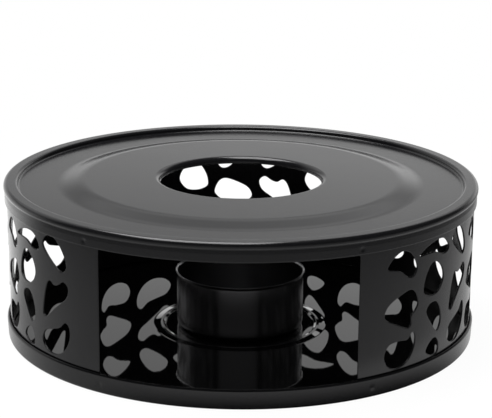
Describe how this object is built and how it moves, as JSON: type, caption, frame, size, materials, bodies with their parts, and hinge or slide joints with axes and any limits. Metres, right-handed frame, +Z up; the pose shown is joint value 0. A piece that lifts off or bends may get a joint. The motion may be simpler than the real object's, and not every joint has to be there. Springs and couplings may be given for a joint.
{
  "type": "teapot warmer",
  "caption": "Low round teapot warmer of black sheet steel: a rimmed plate with a vent hole on a pierced ring wall with a wide front opening, a shallow tray and a loose steel tea light cup.",
  "frame": {"origin": "middle of the tray's underside, on the surface that the warmer stands on", "axes": "+Z up along the axis of the round body; the front opening faces -Y; +X to the right seen from the front"},
  "size_m": [0.152, 0.152, 0.0506],
  "materials": {
    "black_paint": "satin black enamel, glossy on the tray's floor",
    "polished_steel": "polished stainless steel"
  },
  "bodies": {
    "root": {"top_plate": "black_paint", "side_wall": "black_paint", "base_tray": "black_paint", "tealight_cup": "polished_steel"}
  },
  "joints": []
}
